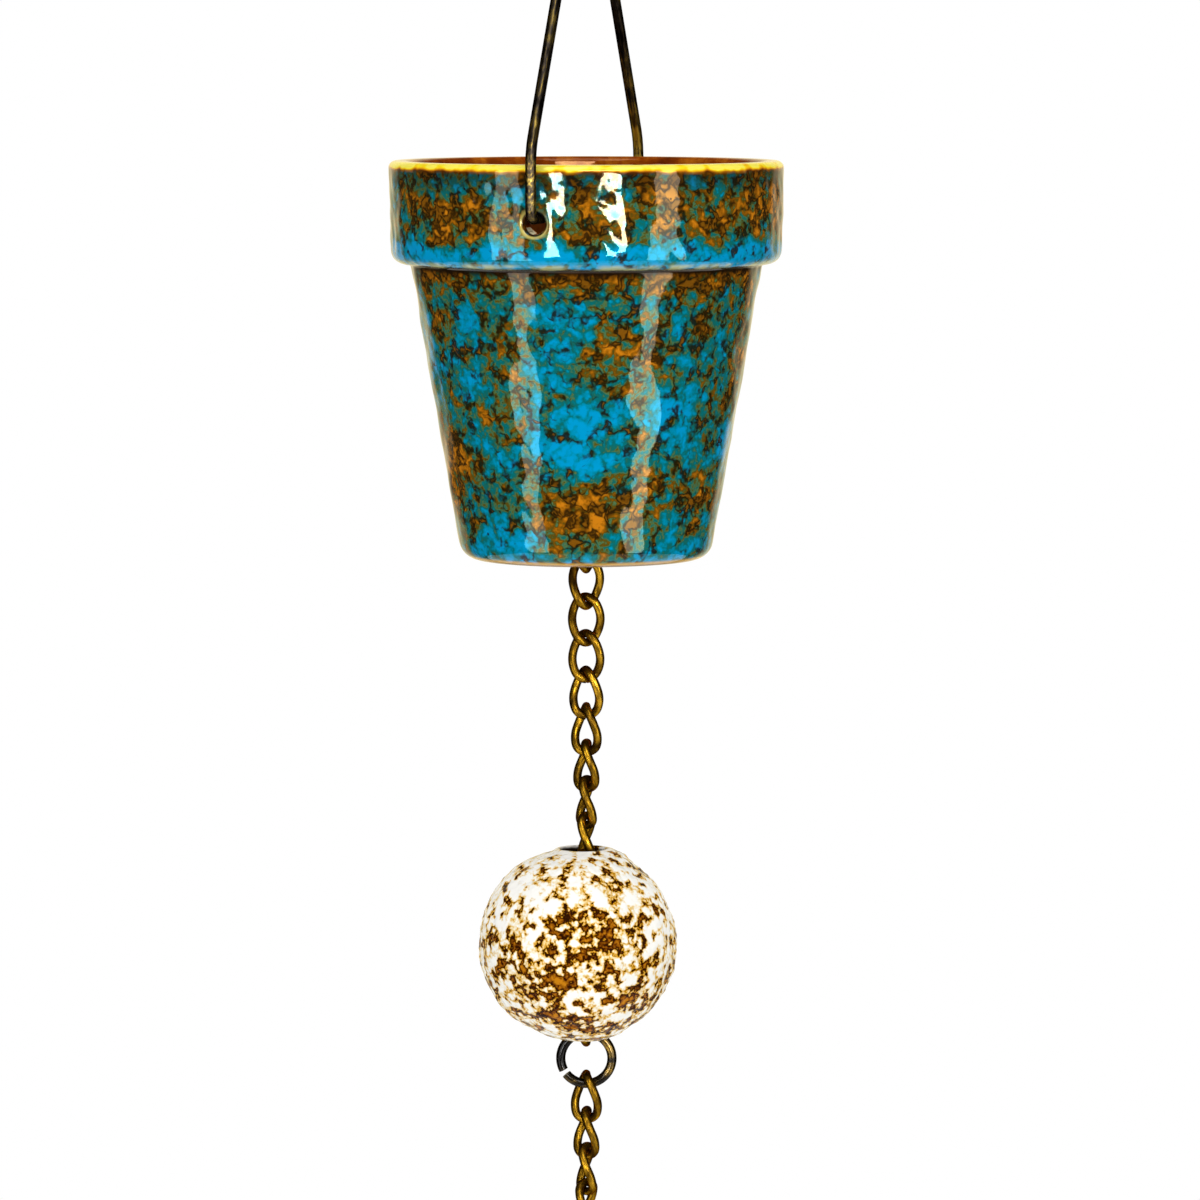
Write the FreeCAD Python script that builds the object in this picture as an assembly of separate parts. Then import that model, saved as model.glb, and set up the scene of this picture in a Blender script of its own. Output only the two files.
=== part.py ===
"""One section of a flowerpot rain chain: a glazed pot hung on a wire bail, a chain of twisted links that
leaves through the pot's drain hole, and a glazed ball bead on the chain above a jump ring.

Millimetres and degrees, +Z up. The origin is the middle of the hanging ring, the bail stands in the YZ
plane, and the chain hangs straight down the Z axis. Turns about Z are counted from +X."""

import FreeCAD
import Part

import math
import os

Vector = FreeCAD.Vector
UP = Vector(0, 0, 1)

# Play left where one wire hangs on another, or where a piece rests on a wire
wire_play = 0.15

# Chain links, bent from round wire, open at a butt joint in the bottom end and twisted left-handed
link_wire = 2.2
link_inner_width = 5.0
link_inner_length = 9.5
link_twist = 90.0
link_butt_gap = 0.5

# Jump rings, bent from round wire and not quite closed
ring_wire = 2.4
ring_inner_diameter = 10.7
ring_mouth = 1.3
hang_ring_mouth_at = 213.0
anchor_ring_mouth_at = 90.0
bead_ring_mouth_at = 213.0

# How many links hang between the pot and the bead ring, how many of those the bead hides, and how many
# follow the ring
upper_link_count = 14
bead_link_count = 6
lower_link_count = 5

# How far the first link is turned, and how far each link is turned from the one above it
first_link_turn = 52.5
free_link_step = -17.0
bead_link_step = -9.0
lower_link_step = -19.0

# Pot, with a collar round its rim
rim_diameter = 100.0
collar_bottom_diameter = 98.4
collar_height = 26.0
body_top_diameter = 89.0
foot_diameter = 63.0
pot_height = 100.8
lip_wall = 5.4
side_wall = 5.0
floor_thickness = 7.8
lip_round = 1.8
collar_round = 3.6
neck_round = 1.0
foot_round = 5.0
inner_round = 7.0
drain_play = 1.8
drain_round = 0.6

# Holes for the bail, opposite each other through the collar
bail_hole_diameter = 5.4
bail_hole_drop = 14.4
bail_hole_round = 0.9

# Bail, bent from one length of wire, with its ends hooked in through the holes
bail_wire = 2.7
bail_hook_bend = 2.8
bail_hook_play = 0.15
bail_tail = 9.0
bail_shoulder_rise = 3.6
bail_shoulder_bend = 14.0
bail_peak_rise = 85.0
bail_peak_bend = 6.0

# Hollow ball bead, with its bore to one side of the middle, hanging a little to one side of the chain
bead_diameter = 50.6
bead_wall = 4.8
bead_bore_play = 1.8
bead_bore_round = 0.9
bead_bore_offset = 1.4
bead_hang_offset = 0.8

# Link sizes to the middle of the wire
link_width = link_inner_width + 2 * link_wire
link_reach = (link_inner_width + link_wire) / 2
link_half = (link_inner_length + link_wire) / 2
link_pitch = link_inner_length - wire_play

# Ring sizes, and how far apart the middles of two wires lie where one hangs on the other
ring_radius = (ring_inner_diameter + ring_wire) / 2
ring_outer_radius = ring_radius + ring_wire / 2
ring_to_link = (ring_wire + link_wire) / 2 + wire_play
ring_to_bail = (ring_wire + bail_wire) / 2 + wire_play


def heading(turn, length=1.0):
    """A level vector turned about Z from +X."""
    angle = math.radians(turn)
    return Vector(math.cos(angle), math.sin(angle), 0) * length


def unit(vector):
    return vector * (1 / vector.Length)


def on_axis(height):
    return Vector(0, 0, height)


# Pot radii at a height, counted down from the rim
collar_slope = (rim_diameter - collar_bottom_diameter) / 2 / collar_height
side_slope = (body_top_diameter - foot_diameter) / 2 / (pot_height - collar_height)
inner_rim_radius = rim_diameter / 2 - lip_wall
inner_floor_radius = foot_diameter / 2 + floor_thickness * side_slope - side_wall
inner_slope = (inner_rim_radius - inner_floor_radius) / (pot_height - floor_thickness)
drain_radius = (link_width + drain_play) / 2

# Bail corners: outside the collar, inside the pot, and where the legs would meet
bail_drop = bail_hole_drop - (bail_hole_diameter - bail_wire) / 2 + wire_play
bail_outside = rim_diameter / 2 - bail_drop * collar_slope + bail_hook_bend + bail_hook_play
bail_inside = inner_rim_radius - (bail_drop + bail_wire / 2) * inner_slope - bail_hook_bend - bail_hook_play
bail_leg_angle = math.atan2(bail_outside, bail_peak_rise - bail_shoulder_rise)
bail_top_rise = bail_peak_rise - bail_peak_bend * (1 / math.sin(bail_leg_angle) - 1)

# Heights from the hanging ring down to the pot
bail_top_z = ring_to_bail - ring_radius
rim_z = bail_top_z - bail_top_rise
bail_hole_z = rim_z - bail_hole_drop
bail_pivot_z = rim_z - bail_drop
pot_bottom_z = rim_z - pot_height
floor_z = pot_bottom_z + floor_thickness

# Heights from the ring that stands in the drain hole down to the last link
anchor_reach = ring_outer_radius + drain_round
anchor_seat = math.sqrt(anchor_reach**2 - (drain_radius + drain_round) ** 2) - drain_round
anchor_ring_z = floor_z + anchor_seat + wire_play
upper_top_z = anchor_ring_z - ring_radius + ring_to_link
upper_end_z = upper_top_z - 2 * link_half - (upper_link_count - 1) * link_pitch
bead_ring_z = upper_end_z + ring_to_link - ring_radius
lower_top_z = bead_ring_z - ring_radius + ring_to_link

# Turns of the links and of the rings, which stand square to the link ends they hold
free_link_count = upper_link_count - bead_link_count
last_free_turn = first_link_turn + (free_link_count - 1) * free_link_step
last_upper_turn = last_free_turn + bead_link_count * bead_link_step
hang_ring_turn = 0.0
anchor_ring_turn = first_link_turn - link_twist / 2 + 90
bead_ring_turn = last_upper_turn + link_twist / 2 + 90
first_lower_turn = bead_ring_turn - 90 + link_twist / 2


def upper_link_turn(index):
    free_steps = min(index, free_link_count - 1)
    return first_link_turn + free_steps * free_link_step + (index - free_steps) * bead_link_step


def upper_link_z(index):
    return upper_top_z - link_half - index * link_pitch


def lower_link_turn(index):
    return first_lower_turn + index * lower_link_step


def lower_link_z(index):
    return lower_top_z - link_half - index * link_pitch


def arc_edge(start, along, end):
    """The arc that leaves start along a unit vector and ends at end."""
    chord = end - start
    chord_way = unit(chord)
    outward = unit(along - chord_way * along.dot(chord_way))
    rise = chord.Length / 2 * math.tan(along.getAngle(chord_way) / 2)
    return Part.Arc(start, (start + end) * 0.5 + outward * rise, end).toShape()


def two_arcs(start, along_start, end, along_end):
    """Two arcs that meet smoothly on the way from start to end, with a given direction at each."""
    chord = end - start
    square = 2 * (1 - along_start.dot(along_end))
    linear = 2 * chord.dot(along_start + along_end)
    length = (math.sqrt(linear**2 + 4 * square * chord.dot(chord)) - linear) / (2 * square)
    meeting = (start + end + (along_start - along_end) * length) * 0.5
    along_meeting = unit(end - start - (along_start + along_end) * length)
    return [arc_edge(start, along_start, meeting), arc_edge(meeting, along_meeting, end)]


def shortened(edge, at_start, at_end):
    """An arc with a length cut off either end."""
    circle = edge.Curve
    first = edge.FirstParameter + at_start / circle.Radius
    last = edge.LastParameter - at_end / circle.Radius
    return Part.ArcOfCircle(circle, first, last).toShape()


def rounded_path(corners, bends, closed=False):
    """Straight runs between the corners, joined by tangent arcs of the given radii (0 for a plain corner)."""
    count = len(corners)
    joints = []
    for index, (corner, bend) in enumerate(zip(corners, bends)):
        if bend == 0:
            joints.append((corner, None, corner))
            continue
        back = unit(corners[index - 1] - corner)
        ahead = unit(corners[(index + 1) % count] - corner)
        half = back.getAngle(ahead) / 2
        cut = bend / math.tan(half)
        middle = corner + unit(back + ahead) * (bend / math.sin(half) - bend)
        joints.append((corner + back * cut, middle, corner + ahead * cut))
    edges = []
    for index, (first, middle, last) in enumerate(joints):
        if middle:
            edges.append(Part.Arc(first, middle, last).toShape())
        if closed or index + 1 < count:
            edges.append(Part.LineSegment(last, joints[(index + 1) % count][0]).toShape())
    return edges


def bent_wire(edges, diameter):
    """Round wire along a smooth open path."""
    start = edges[0].valueAt(edges[0].FirstParameter)
    along = edges[0].tangentAt(edges[0].FirstParameter)
    section = Part.Wire([Part.Circle(start, along, diameter / 2).toShape()])
    return Part.Wire(edges).makePipeShell([section], True, False)


def twisted_link(turn, height):
    """An oval link whose ends are turned opposite ways about Z, as eight arcs from gap to gap."""
    lean = math.radians(link_twist) * link_reach / (2 * link_half)
    middle = on_axis(height)
    top = on_axis(height + link_half)
    bottom = on_axis(height - link_half)
    right = middle + heading(turn, link_reach)
    left = middle - heading(turn, link_reach)
    over = heading(turn - link_twist / 2)
    under = heading(turn + link_twist / 2, -1)
    rising = unit(heading(turn + 90, lean) + UP)
    falling = unit(heading(turn + 90, lean) - UP)
    edges = two_arcs(bottom, under, left, rising)
    edges += two_arcs(left, rising, top, over)
    edges += two_arcs(top, over, right, falling)
    edges += two_arcs(right, falling, bottom, under)
    edges[0] = shortened(edges[0], link_butt_gap / 2, 0)
    edges[-1] = shortened(edges[-1], 0, link_butt_gap / 2)
    return bent_wire(edges, link_wire)


def jump_ring(turn, height, mouth_at):
    """An upright ring in the plane of a heading and Z, open at an angle from that heading."""
    half_mouth = math.degrees(ring_mouth / 2 / ring_radius)
    points = []
    for angle in (mouth_at + half_mouth, mouth_at + 180, mouth_at + 360 - half_mouth):
        lift = math.radians(angle)
        level = heading(turn, ring_radius * math.cos(lift))
        points.append(on_axis(height + ring_radius * math.sin(lift)) + level)
    return bent_wire([Part.Arc(*points).toShape()], ring_wire)


def bail():
    """Tail, hook, outside run, shoulder and leg on one side, then the same again on the other."""
    side = [
        (bail_inside, bail_pivot_z + bail_tail, 0),
        (bail_inside, bail_pivot_z, bail_hook_bend),
        (bail_outside, bail_pivot_z, bail_hook_bend),
        (bail_outside, rim_z + bail_shoulder_rise, bail_shoulder_bend),
    ]
    corners = [Vector(0, -across, height) for across, height, bend in side]
    corners.append(on_axis(rim_z + bail_peak_rise))
    corners += [Vector(0, across, height) for across, height, bend in reversed(side)]
    bends = [bend for across, height, bend in side]
    bends = bends + [bail_peak_bend] + bends[::-1]
    return bent_wire(rounded_path(corners, bends), bail_wire)


def pot():
    """Turned body with its collar, hollow and drain hole, then drilled through the collar for the bail."""
    collar_z = rim_z - collar_height
    outline = [
        (drain_radius, pot_bottom_z, drain_round),
        (foot_diameter / 2, pot_bottom_z, foot_round),
        (body_top_diameter / 2, collar_z, neck_round),
        (collar_bottom_diameter / 2, collar_z, collar_round),
        (rim_diameter / 2, rim_z, lip_round),
        (inner_rim_radius, rim_z, lip_round),
        (inner_floor_radius, floor_z, inner_round),
        (drain_radius, floor_z, drain_round),
    ]
    corners = [Vector(radius, 0, height) for radius, height, bend in outline]
    bends = [bend for radius, height, bend in outline]
    section = Part.Face(Part.Wire(rounded_path(corners, bends, closed=True)))
    body = section.revolve(Vector(), UP, 360)
    hole_radius = bail_hole_diameter / 2
    drill_start = Vector(0, -rim_diameter, bail_hole_z)
    drill = Part.makeCylinder(hole_radius, 2 * rim_diameter, drill_start, Vector(0, 1, 0))
    body = body.cut(drill)
    mouths = []
    for edge in body.Edges:
        box = edge.BoundBox
        near_hole = abs(box.Center.z - bail_hole_z) < hole_radius and abs(box.Center.x) < hole_radius
        if near_hole and box.ZLength > hole_radius and box.XLength > hole_radius:
            mouths.append(edge)
    return body.makeFillet(bail_hole_round, mouths).Solids[0]


def bead():
    """Hollow ball with an off-centre bore, set down on the jump ring below it."""
    radius = bead_diameter / 2
    bore_radius = (link_width + bead_bore_play) / 2
    seats = []
    for side in (-1, 1):
        round_at = side * (bore_radius + bead_bore_round)
        above_ring = (ring_outer_radius + bead_bore_round) ** 2 - (round_at - bead_hang_offset) ** 2
        below_ball = (radius - bead_bore_round) ** 2 - (round_at + bead_bore_offset) ** 2
        seats.append(math.sqrt(above_ring) + math.sqrt(below_ball))
    height = bead_ring_z + max(seats) + wire_play
    bore_at = heading(bead_ring_turn, -bead_hang_offset)
    middle = on_axis(height) + heading(bead_ring_turn, -bead_hang_offset - bead_bore_offset)
    shell = Part.makeSphere(radius, middle).cut(Part.makeSphere(radius - bead_wall, middle))
    bore = Part.makeCylinder(bore_radius, 2 * bead_diameter, bore_at + on_axis(height - bead_diameter), UP)
    shell = shell.cut(bore)
    rims = []
    for edge in shell.Edges:
        round_bore = edge.BoundBox.XLength > bore_radius and edge.BoundBox.YLength > bore_radius
        if round_bore and abs(edge.BoundBox.Center.z - height) > radius - bead_wall:
            rims.append(edge)
    return shell.makeFillet(bead_bore_round, rims).Solids[0]


def pieces():
    """Every piece in its place, by name, from the top down."""
    made = {
        "hang_ring": jump_ring(hang_ring_turn, 0, hang_ring_mouth_at),
        "bail": bail(),
        "pot": pot(),
        "anchor_ring": jump_ring(anchor_ring_turn, anchor_ring_z, anchor_ring_mouth_at),
    }
    for index in range(upper_link_count):
        made[f"upper_link_{index + 1:02d}"] = twisted_link(upper_link_turn(index), upper_link_z(index))
    made["bead"] = bead()
    made["bead_ring"] = jump_ring(bead_ring_turn, bead_ring_z, bead_ring_mouth_at)
    for index in range(lower_link_count):
        made[f"lower_link_{index + 1:02d}"] = twisted_link(lower_link_turn(index), lower_link_z(index))
    return made


if __name__ == "__main__":
    os.makedirs("parts", exist_ok=True)
    for name, shape in pieces().items():
        shape.exportStep(f"parts/{name}.step")
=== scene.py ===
"""A flowerpot rain chain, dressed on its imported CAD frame: antique brass wire, a pot in reactive glazes and
a ball bead in a white glaze that crawled. Lengths are millimetres where a comment says so, and metres in
Blender."""

import bmesh
import bpy
import numpy as np
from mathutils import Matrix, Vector


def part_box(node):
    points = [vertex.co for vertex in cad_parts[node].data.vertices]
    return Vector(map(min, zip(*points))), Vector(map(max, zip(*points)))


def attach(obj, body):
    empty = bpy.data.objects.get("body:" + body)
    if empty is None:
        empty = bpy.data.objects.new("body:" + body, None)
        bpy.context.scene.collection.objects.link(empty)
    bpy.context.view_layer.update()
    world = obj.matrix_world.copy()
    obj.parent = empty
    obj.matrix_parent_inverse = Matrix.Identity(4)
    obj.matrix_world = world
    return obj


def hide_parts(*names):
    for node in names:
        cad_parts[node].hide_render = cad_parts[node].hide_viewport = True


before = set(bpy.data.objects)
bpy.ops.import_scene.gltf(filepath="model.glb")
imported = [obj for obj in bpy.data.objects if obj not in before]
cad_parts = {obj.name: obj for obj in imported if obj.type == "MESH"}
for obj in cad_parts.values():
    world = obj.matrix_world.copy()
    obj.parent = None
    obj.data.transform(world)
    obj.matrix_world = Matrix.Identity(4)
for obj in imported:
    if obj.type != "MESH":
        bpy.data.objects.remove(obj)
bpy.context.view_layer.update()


# Jump rings
# Three open rings of round brass wire: one to hang the section by, one that stands over the pot's drain
# hole and one under the bead. They were cut from a coil, closed with pliers and darkened in a patina bath.

ring_nodes = ("hang_ring", "anchor_ring", "bead_ring")


def paint(code):
    """Linear RGBA from an sRGB hex code."""
    srgb = np.array([int(code[i : i + 2], 16) for i in (1, 3, 5)]) / 255
    linear = np.where(srgb <= 0.04045, srgb / 12.92, ((srgb + 0.055) / 1.055) ** 2.4)
    return (*linear.tolist(), 1.0)


def per_mm(size):
    """Texture scale, in pattern units per metre, that makes one unit of a pattern this many millimetres."""
    return 1000 / size


def add(tree, kind, sockets=None, stops=None, **settings):
    """Adds a node: settings are its own properties, and sockets its inputs by name or number, as values or
    as links. Stops are a colour ramp's places and hex codes."""
    node = tree.nodes.new("ShaderNode" + kind)
    for name, value in settings.items():
        setattr(node, name, value)
    for name, value in (sockets or {}).items():
        if isinstance(value, bpy.types.NodeSocket):
            tree.links.new(value, node.inputs[name])
        else:
            node.inputs[name].default_value = value
    for index, (at, code) in enumerate(stops or ()):
        ramp = node.color_ramp.elements
        stop = ramp[index] if index < 2 else ramp.new(at)
        stop.position = at
        stop.color = paint(code)
    return node


def empty_tree(owner):
    """The node tree of a material or a world, switched on and emptied."""
    owner.use_nodes = True
    owner.node_tree.nodes.clear()
    return owner.node_tree


# Darkened brass: near black in the patina, with thin brassy rubs where fingers and other wires polished it
dark_brass = bpy.data.materials.new("darkened_brass")
tree = empty_tree(dark_brass)
place = add(tree, "TexCoord").outputs["Object"]
rubs = add(tree, "TexNoise", {"Vector": place, "Scale": per_mm(6.0), "Detail": 4.0, "Roughness": 0.6})
pits = add(tree, "TexNoise", {"Vector": place, "Scale": per_mm(0.45), "Detail": 2.0})

# The rings are brighter brass on their +X side
side = add(tree, "SeparateXYZ", {"Vector": place}).outputs["X"]
plus_x_brighter = add(
    tree, "MapRange", {"Value": side, "From Min": -0.004, "From Max": 0.006, "To Min": -0.09, "To Max": 0.05}
).outputs["Result"]
wear = add(tree, "Math", {0: rubs.outputs["Fac"], 1: plus_x_brighter}, operation="ADD").outputs["Value"]
tone = add(
    tree,
    "ValToRGB",
    {"Fac": wear},
    stops=[(0.36, "#060504"), (0.48, "#1a1409"), (0.56, "#4e3d17"), (0.70, "#8f702b")],
)
dull = add(
    tree, "MapRange", {"Value": wear, "From Min": 0.35, "From Max": 0.65, "To Min": 0.42, "To Max": 0.24}
)
relief = add(tree, "Bump", {"Height": pits.outputs["Fac"], "Strength": 0.35, "Distance": 0.0001})
metal = add(
    tree,
    "BsdfPrincipled",
    {
        "Base Color": tone.outputs["Color"],
        "Roughness": dull.outputs["Result"],
        "Normal": relief.outputs["Normal"],
        "Metallic": 1.0,
        "Specular Tint": paint("#5a4a34"),
        "Coat Weight": 0.25,
        "Coat Roughness": 0.15,
    },
)
add(tree, "OutputMaterial", {"Surface": metal.outputs["BSDF"]})
for name in ring_nodes:
    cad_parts[name].material_slots[0].material = dark_brass


# Bail
# One length of round brass wire bent to a pointed arch, its ends hooked in through the pot's collar. It was
# blackened after bending, and the drawn surface shows brassy streaks along the wire where the black has worn.

leg_lean = np.radians(32.8)
streak_stretch = 0.1

# Blackened brass: a satin black skin, worn to brass in fine streaks along the wire and most at the far foot
blackened_brass = bpy.data.materials.new("blackened_brass")
tree = empty_tree(blackened_brass)
place = add(tree, "TexCoord").outputs["Object"]
legs = add(tree, "VectorMath", {0: place}, operation="ABSOLUTE").outputs["Vector"]
upright = add(
    tree, "VectorRotate", {"Vector": legs, "Angle": leg_lean}, rotation_type="X_AXIS"
).outputs["Vector"]
drawn = add(
    tree, "VectorMath", {0: upright, 1: (1.0, 1.0, streak_stretch)}, operation="MULTIPLY"
).outputs["Vector"]
streaks = add(tree, "TexNoise", {"Vector": drawn, "Scale": per_mm(0.6), "Detail": 4.0, "Roughness": 0.65})
patches = add(tree, "TexNoise", {"Vector": place, "Scale": per_mm(7.0), "Detail": 2.0})
wear = add(
    tree,
    "Math",
    {0: patches.outputs["Fac"], 1: 0.6, 2: streaks.outputs["Fac"]},
    operation="MULTIPLY_ADD",
).outputs["Value"]
across = add(tree, "SeparateXYZ", {"Vector": place}).outputs["Y"]
far_foot = add(
    tree, "MapRange", {"Value": across, "From Min": 0.035, "From Max": 0.053, "To Min": -0.02, "To Max": 0.16}
).outputs["Result"]
wear = add(tree, "Math", {0: wear, 1: far_foot}, operation="ADD").outputs["Value"]
tone = add(
    tree,
    "ValToRGB",
    {"Fac": wear},
    stops=[(0.64, "#13100d"), (0.80, "#3a332c"), (0.90, "#5e4f2a"), (1.0, "#a58a40")],
)
relief = add(tree, "Bump", {"Height": streaks.outputs["Fac"], "Strength": 0.3, "Distance": 0.0001})
metal = add(
    tree,
    "BsdfPrincipled",
    {
        "Base Color": tone.outputs["Color"],
        "Normal": relief.outputs["Normal"],
        "Roughness": 0.36,
        "Metallic": 1.0,
        "Specular Tint": paint("#5a4a34"),
    },
)
add(tree, "OutputMaterial", {"Surface": metal.outputs["BSDF"]})
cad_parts["bail"].material_slots[0].material = blackened_brass


# Pot
# A one-piece flowerpot, slip-cast and fettled, with a collar, two holes through the collar for the bail and
# a drain hole in its floor. It was dipped in two reactive glazes, which ran into each other and pooled along
# the collar's lower edge.

# The side that faces the photograph's camera, in degrees about the pot's axis
facing = np.radians(15.0)
front_way = np.array([np.sin(facing), -np.cos(facing), 0.0])
right_way = np.array([np.cos(facing), np.sin(facing), 0.0])

# Sizes in millimetres
pot_low, pot_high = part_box("pot")
rim_z = 1000 * pot_high.z
pot_height = rim_z - 1000 * pot_low.z
rim_radius = 50.0
collar_foot_radius = 49.2
collar_height = 26.0
neck_radius = 44.5
foot_radius = 31.5
inner_rim_radius = 44.6
inner_floor_radius = 27.86
floor_thickness = 7.8
drain_radius = 5.6
bail_hole_radius = 2.7
bail_hole_round = 0.9
bail_hole_z = rim_z - 14.4

# Mesh: columns round the pot, and the rows' spacing, reach and half a square's cells about the bail holes
pot_columns = 360
hole_row = 0.9
hole_reach = 40
hole_cells = 6


def unit(vector):
    return vector / np.linalg.norm(vector)


def turned_outline(corners):
    """Closed outline of a turned piece, as rows of radius and height. Each corner is (radius, height, bend,
    rows): a tangent arc of radius bend rounds it, and the straight run after it has a row every so many
    millimetres, or at the heights given."""
    at = np.array([corner[:2] for corner in corners])
    arcs = []
    for index, (_, _, bend, _) in enumerate(corners):
        back = unit(at[index - 1] - at[index])
        ahead = unit(at[(index + 1) % len(at)] - at[index])
        half = np.arccos(back @ ahead) / 2
        middle = at[index] + unit(back + ahead) * bend / np.sin(half)
        first = at[index] + back * bend / np.tan(half) - middle
        last = at[index] + ahead * bend / np.tan(half) - middle
        sweep = np.pi - 2 * half
        step = np.linspace(0, 1, max(4, int(np.degrees(sweep) / 9)))[:, None]
        spokes = np.sin((1 - step) * sweep) * first + np.sin(step * sweep) * last
        arcs.append(middle + spokes / np.sin(sweep))
    rows = []
    for index, (_, _, _, spacing) in enumerate(corners):
        start, end = arcs[index][-1], arcs[(index + 1) % len(at)][0]
        if np.ndim(spacing):
            share = np.sort((spacing - start[1]) / (end[1] - start[1]))
            share = share[(share > 0.001) & (share < 0.999)]
        else:
            share = np.linspace(0, 1, int(np.ceil(np.linalg.norm(end - start) / spacing)) + 1)[1:-1]
        rows += [arcs[index], start + share[:, None] * (end - start)]
    return np.concatenate(rows)


def turned(outline, columns):
    """Points of an outline carried round the Z axis, row by row, and the quads between them, closed both
    ways."""
    turn = np.arange(columns) * 2 * np.pi / columns
    points = np.stack(
        [
            outline[:, :1] * np.cos(turn),
            outline[:, :1] * np.sin(turn),
            np.broadcast_to(outline[:, 1:], (len(outline), columns)),
        ],
        -1,
    )
    index = np.arange(len(outline) * columns).reshape(len(outline), columns)
    ahead = np.roll(index, -1, 0)
    quads = np.stack([index, np.roll(index, -1, 1), np.roll(ahead, -1, 1), ahead], -1)
    return points, quads


def closed_piece(name, points, quads):
    """A smooth piece from points in millimetres and quads, its double points merged and its faces turned
    outwards."""
    used, quads = np.unique(quads, return_inverse=True)
    mesh = bpy.data.meshes.new(name)
    mesh.from_pydata(points[used] / 1000, [], quads.reshape(-1, 4))
    shell = bmesh.new()
    shell.from_mesh(mesh)
    bmesh.ops.remove_doubles(shell, verts=shell.verts, dist=1e-6)
    bmesh.ops.recalc_face_normals(shell, faces=shell.faces)
    shell.to_mesh(mesh)
    shell.free()
    mesh.shade_smooth()
    piece = bpy.data.objects.new(name, mesh)
    bpy.context.scene.collection.objects.link(piece)
    return piece


def points_of(piece):
    """A piece's points in millimetres."""
    flat = np.empty(len(piece.data.vertices) * 3)
    piece.data.vertices.foreach_get("co", flat)
    return flat.reshape(-1, 3) * 1000


def set_points(piece, points):
    piece.data.vertices.foreach_set("co", (points / 1000).ravel())
    piece.data.update()


def set_field(piece, name, values):
    """Stores one value at each point, for the material to read."""
    field = piece.data.attributes.new(name, "FLOAT", "POINT")
    field.data.foreach_set("value", np.asarray(values, np.float32))


def swell(points, length, seed, count=40):
    """Smooth random relief with a spread of one: a sum of plane waves near one length, in random ways and
    phases."""
    rng = np.random.default_rng(seed)
    ways = rng.normal(size=(count, 3))
    per_length = 2 * np.pi / length * rng.uniform(0.7, 1.5, count)
    ways *= (per_length / np.linalg.norm(ways, axis=1))[:, None]
    return np.sin(points @ ways.T + rng.uniform(0, 2 * np.pi, count)).sum(1) * np.sqrt(2 / count)


def ease(value, low, high):
    """Smooth step from 0 at low to 1 at high, whichever is larger."""
    share = np.clip((value - low) / (high - low), 0, 1)
    return share * share * (3 - 2 * share)


def outer_radius(depth):
    """The pot's outside radius at a depth below the rim: the collar's taper, then the body's."""
    collar = rim_radius - (rim_radius - collar_foot_radius) * depth / collar_height
    body = neck_radius - (neck_radius - foot_radius) * (depth - collar_height) / (pot_height - collar_height)
    return np.where(depth < collar_height, collar, body)


def inner_radius(depth):
    """The pot's inside radius at a depth below the rim."""
    return inner_rim_radius - (inner_rim_radius - inner_floor_radius) * depth / (pot_height - floor_thickness)


def bail_hole(side, outside, inside):
    """Loops of points through the collar on one side of Y: from a square of cells outside, over a rounded
    mouth, along the hole and out over the other mouth to a square of cells inside. Each loop is a circle in X
    and Z, blended into its square at the ends and laid on the wall, with the quads between the loops."""

    def loop(edge, blend, radius, sink, wall):
        turn = np.arctan2(edge[:, 2] - bail_hole_z, edge[:, 0])
        across = (1 - blend) * edge[:, 0] + blend * radius * np.cos(turn)
        up = (1 - blend) * (edge[:, 2] - bail_hole_z) + blend * radius * np.sin(turn)
        mouth = max(radius, bail_hole_radius + bail_hole_round)
        lie_across = across if blend < 1 else mouth * np.cos(turn)
        lie_up = up if blend < 1 else mouth * np.sin(turn)
        depth = rim_z - bail_hole_z - lie_up
        out = np.sqrt(wall(depth) ** 2 - lie_across**2) + sink
        return np.stack([across, side * out, bail_hole_z + up], -1)

    loops = []
    wide = bail_hole_radius + bail_hole_round
    for edge, wall, inward in ((outside, outer_radius, -1), (inside, inner_radius, 1)):
        half = [loop(edge, blend, wide, 0, wall) for blend in (0, 0.25, 0.5, 0.75, 1)]
        for bend in np.radians([18, 36, 54, 72, 90]):
            radius = wide - bail_hole_round * np.sin(bend)
            half.append(loop(edge, 1, radius, inward * bail_hole_round * (1 - np.cos(bend)), wall))
        loops.append(half)
    through = [loops[0][-1] + (loops[1][-1] - loops[0][-1]) * share for share in (0.25, 0.5, 0.75)]
    points = np.array(loops[0] + through + loops[1][::-1])
    index = np.arange(points.shape[0] * points.shape[1]).reshape(points.shape[:2])
    ring = np.roll(index, -1, 1)
    return points, np.stack([index[:-1], ring[:-1], ring[1:], index[1:]], -1)


# The inside wall has fine rows to just below the bail holes, and coarse ones from there to the floor
hole_heights = bail_hole_z + hole_row * np.arange(-hole_reach, hole_reach)
fine_rows = hole_heights[hole_reach - 15 :]
coarse_rows = np.arange(rim_z - 92, rim_z - 38, 3.0)
pot_outline = turned_outline(
    [
        (drain_radius, rim_z - pot_height, 0.6, 2.0),
        (foot_radius, rim_z - pot_height, 5.0, 1.0),
        (neck_radius, rim_z - collar_height, 1.0, 0.8),
        (collar_foot_radius, rim_z - collar_height, 3.6, hole_heights),
        (rim_radius, rim_z, 1.8, 0.8),
        (inner_rim_radius, rim_z, 1.8, np.concatenate([fine_rows, coarse_rows])),
        (inner_floor_radius, rim_z - pot_height + floor_thickness, 7.0, 2.0),
        (drain_radius, rim_z - pot_height + floor_thickness, 0.6, 1.0),
    ]
)
pot_points, pot_quads = turned(pot_outline, pot_columns)

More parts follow.
